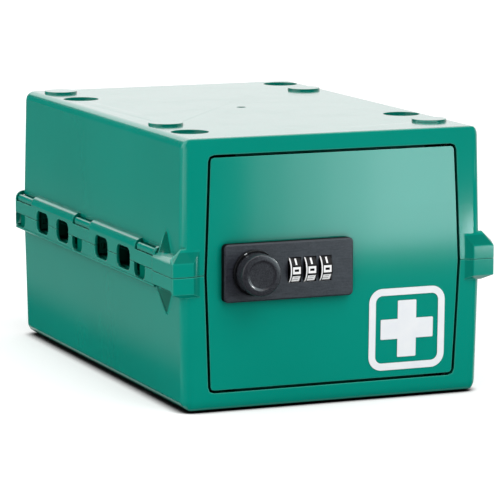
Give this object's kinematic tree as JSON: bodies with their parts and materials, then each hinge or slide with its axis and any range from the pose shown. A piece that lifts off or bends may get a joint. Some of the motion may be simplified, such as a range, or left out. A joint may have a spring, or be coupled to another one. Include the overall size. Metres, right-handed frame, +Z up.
{
  "type": "medication lock box",
  "caption": "Lockable plastic medicine box: two snap-together drafted shells with stacking pegs, an inset side-hinged door and a dial combination cam lock.",
  "frame": {"origin": "bottom centre of the whole object, knob included, on the plane that the stacking pegs stand on", "axes": "+Z up; the door, the lock and the knob face -Y; +X is to the right of someone facing the door"},
  "size_m": [0.217, 0.3235, 0.171],
  "materials": {
    "shell_green": "gloss moulded",
    "door_green": "gloss moulded",
    "lock_black": "satin",
    "knob_black": "satin coated die casting",
    "wheel_black": "satin, white digits",
    "sign_white": "white vinyl and paint",
    "pin_steel": "bright zinc"
  },
  "bodies": {
    "box": {"upper_shell": "shell_green", "lower_shell": "shell_green"},
    "door": {"door_panel": "door_green", "upper_hinge_pin": "pin_steel", "lower_hinge_pin": "pin_steel", "sign_border": "sign_white", "sign_cross": "sign_white", "lock_face_plate": "lock_black", "lock_rear_case": "lock_black", "case_screw_1": "pin_steel", "case_screw_2": "pin_steel", "case_screw_3": "pin_steel", "case_screw_4": "pin_steel", "detent_spring": "pin_steel", "wheel_axle": "pin_steel"},
    "knob": {"knob_cap": "knob_black", "knob_skirt": "lock_black", "index_mark": "sign_white", "spindle": "pin_steel", "cam_latch": "pin_steel", "cam_washer": "pin_steel", "cam_nut": "pin_steel"},
    "wheel_1": {"number_wheel_1": "wheel_black", "code_sleeve_1": "pin_steel"},
    "wheel_2": {"number_wheel_2": "wheel_black", "code_sleeve_2": "pin_steel"},
    "wheel_3": {"number_wheel_3": "wheel_black", "code_sleeve_3": "pin_steel"},
    "fence": {"locking_fence": "pin_steel"}
  },
  "joints": [
    {"name": "door_hinge", "type": "hinge", "parent": "box", "child": "door", "pos_m": [0.077, -0.13825, 0.0855], "axis": [0, 0, 1], "range_deg": [0, 105]},
    {"name": "knob_turn", "type": "hinge", "parent": "door", "child": "knob", "pos_m": [-0.056, -0.15, 0.0865], "axis": [0, -1, 0], "range_deg": [0, 90]},
    {"name": "wheel_1_spin", "type": "hinge", "parent": "door", "child": "wheel_1", "pos_m": [-0.0291, -0.14225, 0.0865], "axis": [1, 0, 0], "continuous": true},
    {"name": "wheel_2_spin", "type": "hinge", "parent": "door", "child": "wheel_2", "pos_m": [-0.0188, -0.14225, 0.0865], "axis": [1, 0, 0], "continuous": true},
    {"name": "wheel_3_spin", "type": "hinge", "parent": "door", "child": "wheel_3", "pos_m": [-0.0085, -0.14225, 0.0865], "axis": [1, 0, 0], "continuous": true},
    {"name": "fence_slide", "type": "slide", "parent": "door", "child": "fence", "axis": [0, -1, 0], "range_m": [0, 0.0014], "stiffness_N_per_m": 150}
  ]
}
